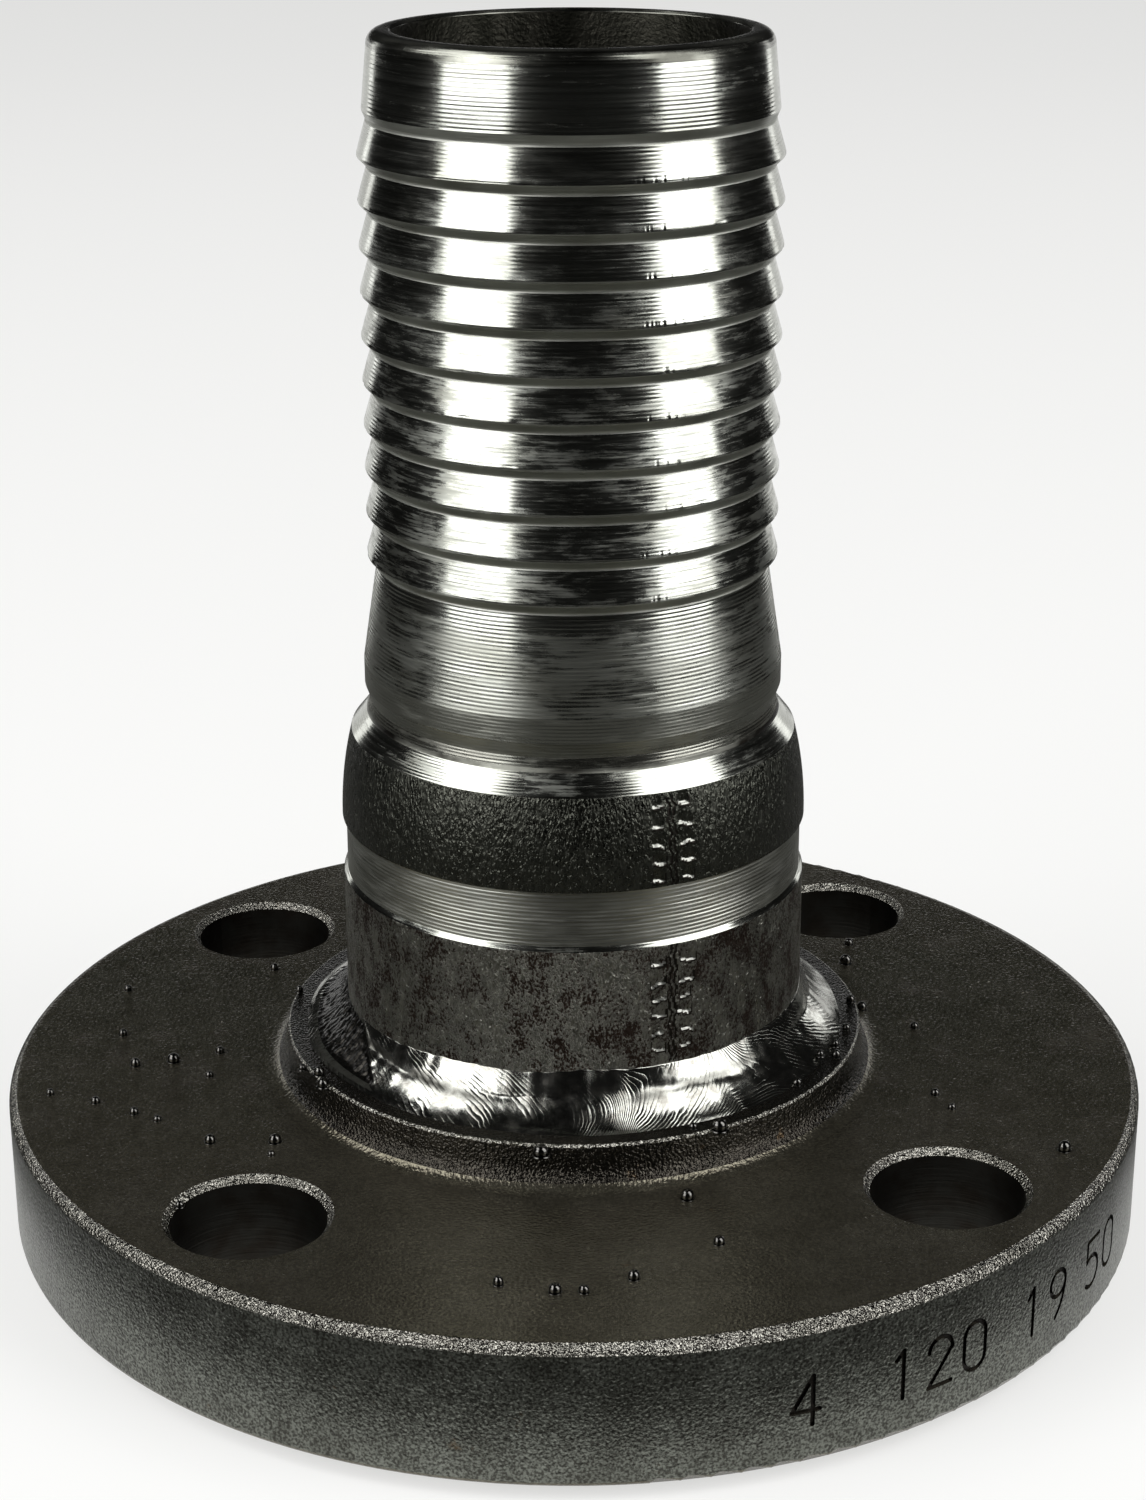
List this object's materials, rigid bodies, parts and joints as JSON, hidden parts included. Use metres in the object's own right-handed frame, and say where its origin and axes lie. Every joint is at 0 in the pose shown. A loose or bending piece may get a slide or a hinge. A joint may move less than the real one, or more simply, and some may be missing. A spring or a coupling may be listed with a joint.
{
  "type": "flanged hose shank",
  "caption": "Steel hose tail with barbs, welded into a round bolted pipe flange; joins a clamped hose to a pipeline.",
  "frame": {"origin": "centre of the gasket face, on the bore's axis", "axes": "+Z along the bore, from the gasket face towards the hose end; the bolt holes straddle the X and Y axes"},
  "size_m": [0.1506, 0.1506, 0.1548],
  "materials": {
    "forged_flange": "forged and blasted, dark oiled skin",
    "turned_tube": "turned bright, with bands of dark mill skin",
    "weld_metal": "as welded, smooth and bright with fine ripples"
  },
  "bodies": {
    "root": {"flange": "forged_flange", "hose_shank": "turned_tube", "hub_weld": "weld_metal", "face_weld": "weld_metal"}
  },
  "joints": []
}
